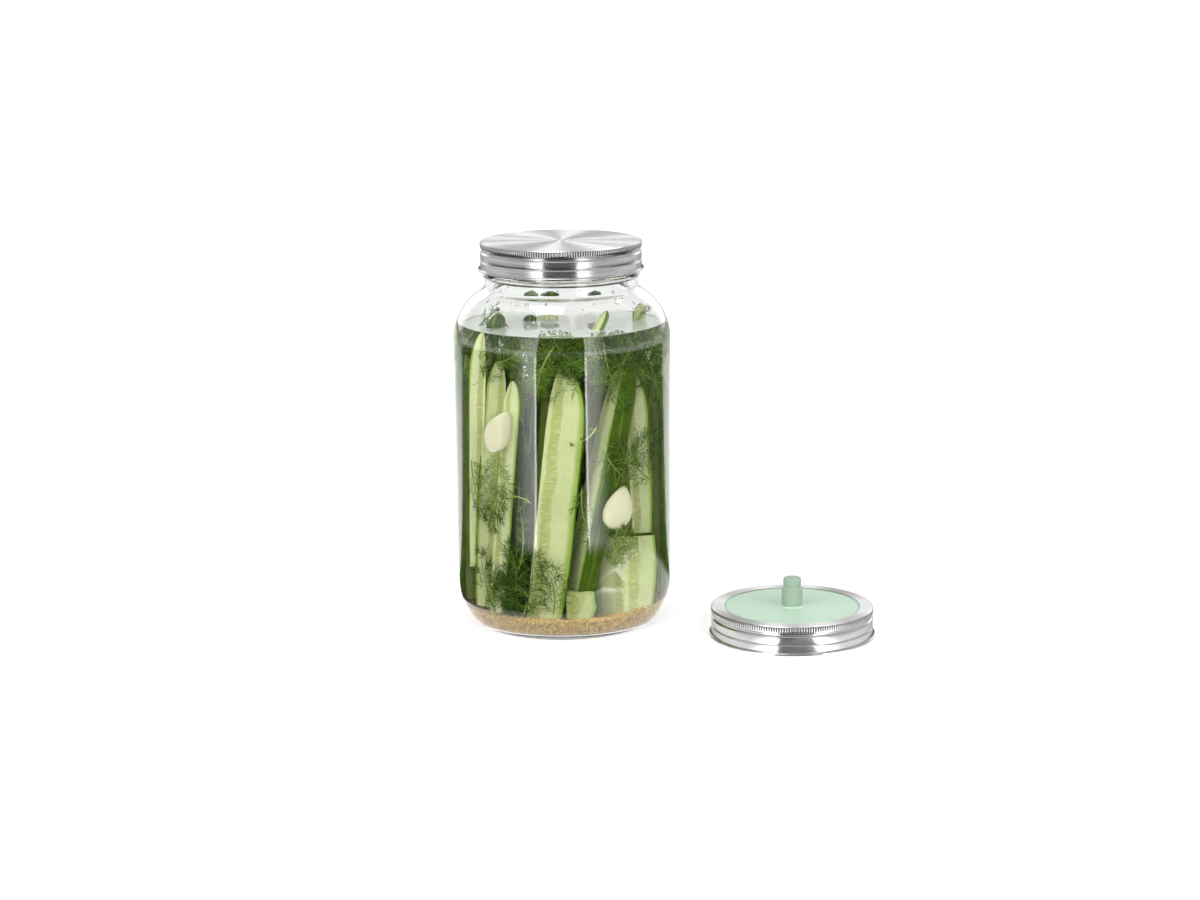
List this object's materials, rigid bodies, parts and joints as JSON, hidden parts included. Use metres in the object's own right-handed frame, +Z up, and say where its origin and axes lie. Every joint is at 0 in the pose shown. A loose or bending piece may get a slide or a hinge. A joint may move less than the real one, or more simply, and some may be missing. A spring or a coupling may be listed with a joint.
{
  "type": "fermentation jar",
  "caption": "Wide-mouth glass jar of pickling brine with its screwed-on steel storage lid, and the steel band and silicone valve disc of its fermentation lid lying beside it.",
  "frame": {"origin": "centre of the jar's base, in the plane that it stands on", "axes": "+Z up along the jar's axis; +X towards the side where the fermentation lid lies; -Y towards the side that is seen"},
  "size_m": [0.2863, 0.1801, 0.2657],
  "materials": {
    "glass": "clear, smooth",
    "seeds": "matt yellow mustard seed",
    "brine": "clear liquid",
    "steel": "spun top, bright rolled skirt",
    "silicone": "matt mint green silicone"
  },
  "bodies": {
    "root": {"glass_jar": "glass", "mustard_seed_bed": "seeds", "brine": "brine", "storage_lid": "steel", "ferment_band": "steel", "ferment_valve_lid": "silicone"}
  },
  "joints": []
}
